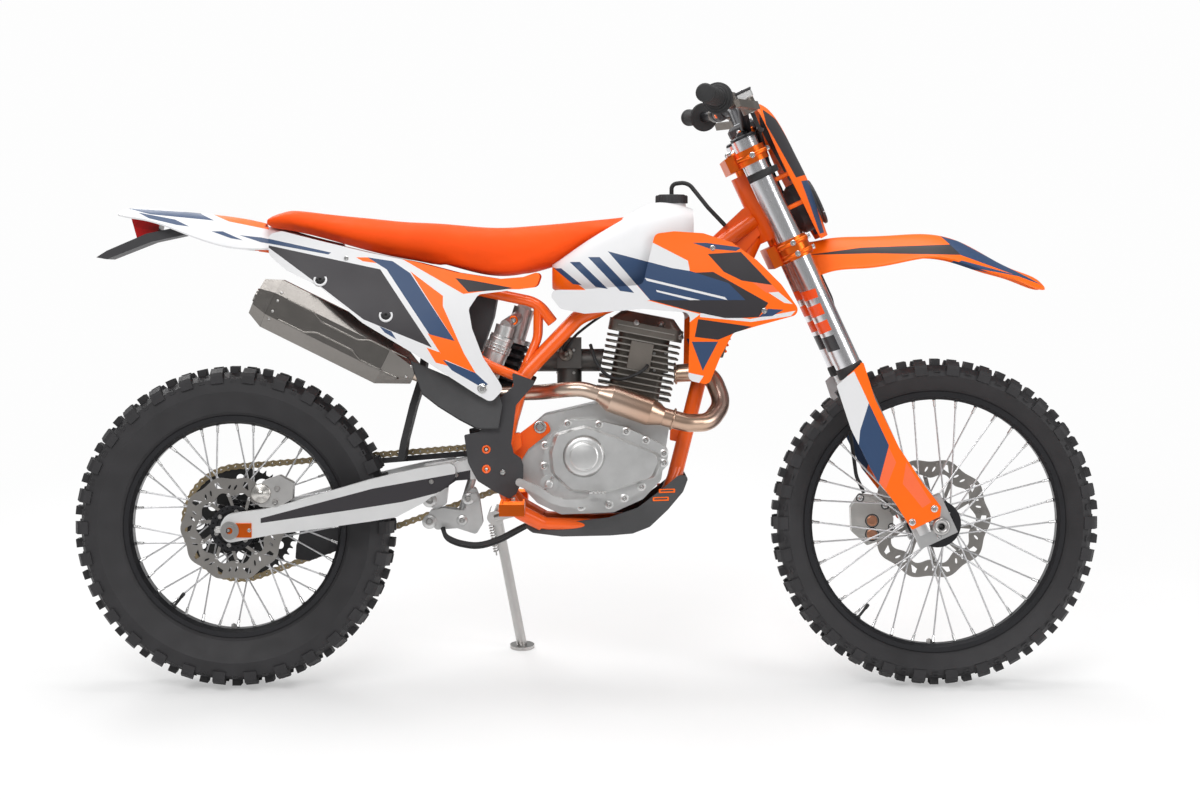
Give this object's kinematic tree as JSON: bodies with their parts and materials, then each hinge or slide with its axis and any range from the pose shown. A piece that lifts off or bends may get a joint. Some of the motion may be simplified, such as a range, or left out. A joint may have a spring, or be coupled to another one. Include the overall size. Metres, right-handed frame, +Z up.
{
  "type": "enduro dirt bike",
  "caption": "Enduro dirt bike leaning on its side stand: spoked wheels, long fork, high fenders, finned engine, slim seat and tank; steering, wheels and stand move.",
  "frame": {"origin": "the floor under the middle of the whole bike as it leans on its side stand", "axes": "+X forward along the bike, +Y to its left, the side it leans to, +Z up"},
  "size_m": [2.167, 0.8128, 1.2983],
  "materials": {
    "orange_frame": "gloss",
    "orange_plastic": "gloss",
    "white_plastic": "gloss",
    "black_plastic": "satin",
    "grey_plastic": "satin",
    "seat_cover": "grained",
    "silver_alloy": "satin",
    "dark_alloy": "satin",
    "orange_alloy": "anodised",
    "black_alloy": "anodised",
    "steel": "brushed",
    "chrome_tube": "polished",
    "header_steel": "heat tinted",
    "silencer_steel": "brushed",
    "tyre_rubber": "matt",
    "black_rubber": "matt",
    "red_lens": "gloss",
    "clear_lens": "gloss"
  },
  "bodies": {
    "chassis": {"main_frame": "orange_frame", "subframe": "orange_frame", "swingarm": "silver_alloy", "rear_axle": "steel", "chain": "steel", "chain_guides": "black_plastic", "shock_absorber": "silver_alloy", "shock_spring": "black_alloy", "shock_linkage": "dark_alloy", "rear_caliper": "silver_alloy", "engine_case": "silver_alloy", "engine_covers": "silver_alloy", "cylinder": "dark_alloy", "cylinder_head": "dark_alloy", "carburettor": "silver_alloy", "airbox": "black_plastic", "exhaust_header": "header_steel", "silencer": "silencer_steel", "silencer_cap": "black_plastic", "radiators": "dark_alloy", "fuel_tank": "white_plastic", "fuel_cap": "black_plastic", "seat": "seat_cover", "vent_hose": "black_rubber", "side_panels": "white_plastic", "shrouds": "orange_plastic", "rear_fender": "orange_plastic", "tail_bracket": "black_plastic", "tail_lamp": "red_lens", "mud_flap": "black_rubber", "frame_guards": "black_plastic", "skid_plate": "grey_plastic", "footpegs": "orange_alloy", "brake_pedal": "silver_alloy", "gear_lever": "silver_alloy", "stand_bracket": "steel"},
    "steering": {"triple_clamps": "orange_alloy", "fork_tubes": "chrome_tube", "fork_sliders": "chrome_tube", "fork_guards": "white_plastic", "front_axle": "steel", "front_caliper": "silver_alloy", "handlebar": "black_alloy", "grips": "black_rubber", "hand_controls": "dark_alloy", "brake_hose": "black_rubber", "headlight_mask": "orange_plastic", "headlamp": "clear_lens", "front_fender": "orange_plastic"},
    "front_wheel": {"front_tyre": "tyre_rubber", "front_rim": "black_alloy", "front_hub": "dark_alloy", "front_disc": "steel"},
    "rear_wheel": {"rear_tyre": "tyre_rubber", "rear_rim": "black_alloy", "rear_hub": "dark_alloy", "rear_disc": "steel", "rear_sprocket": "steel"},
    "side_stand": {"side_stand": "steel"}
  },
  "joints": [
    {"name": "steering_turn", "type": "hinge", "parent": "chassis", "child": "steering", "pos_m": [0.39423, -0.04814, 0.93634], "axis": [-0.4226, 0.1574, 0.8925], "range_deg": [-40, 40]},
    {"name": "front_wheel_spin", "type": "hinge", "parent": "steering", "child": "front_wheel", "pos_m": [0.7375, -0.15255, 0.34422], "axis": [0, 0.9848, -0.1736], "continuous": true},
    {"name": "rear_wheel_spin", "type": "hinge", "parent": "chassis", "child": "rear_wheel", "pos_m": [-0.7445, -0.15376, 0.33732], "axis": [0, 0.9848, -0.1736], "continuous": true},
    {"name": "side_stand_fold", "type": "hinge", "parent": "chassis", "child": "side_stand", "pos_m": [-0.1965, -0.02742, 0.32825], "axis": [0.1399, 0.9565, 0.2559], "range_deg": [0, 100]}
  ]
}
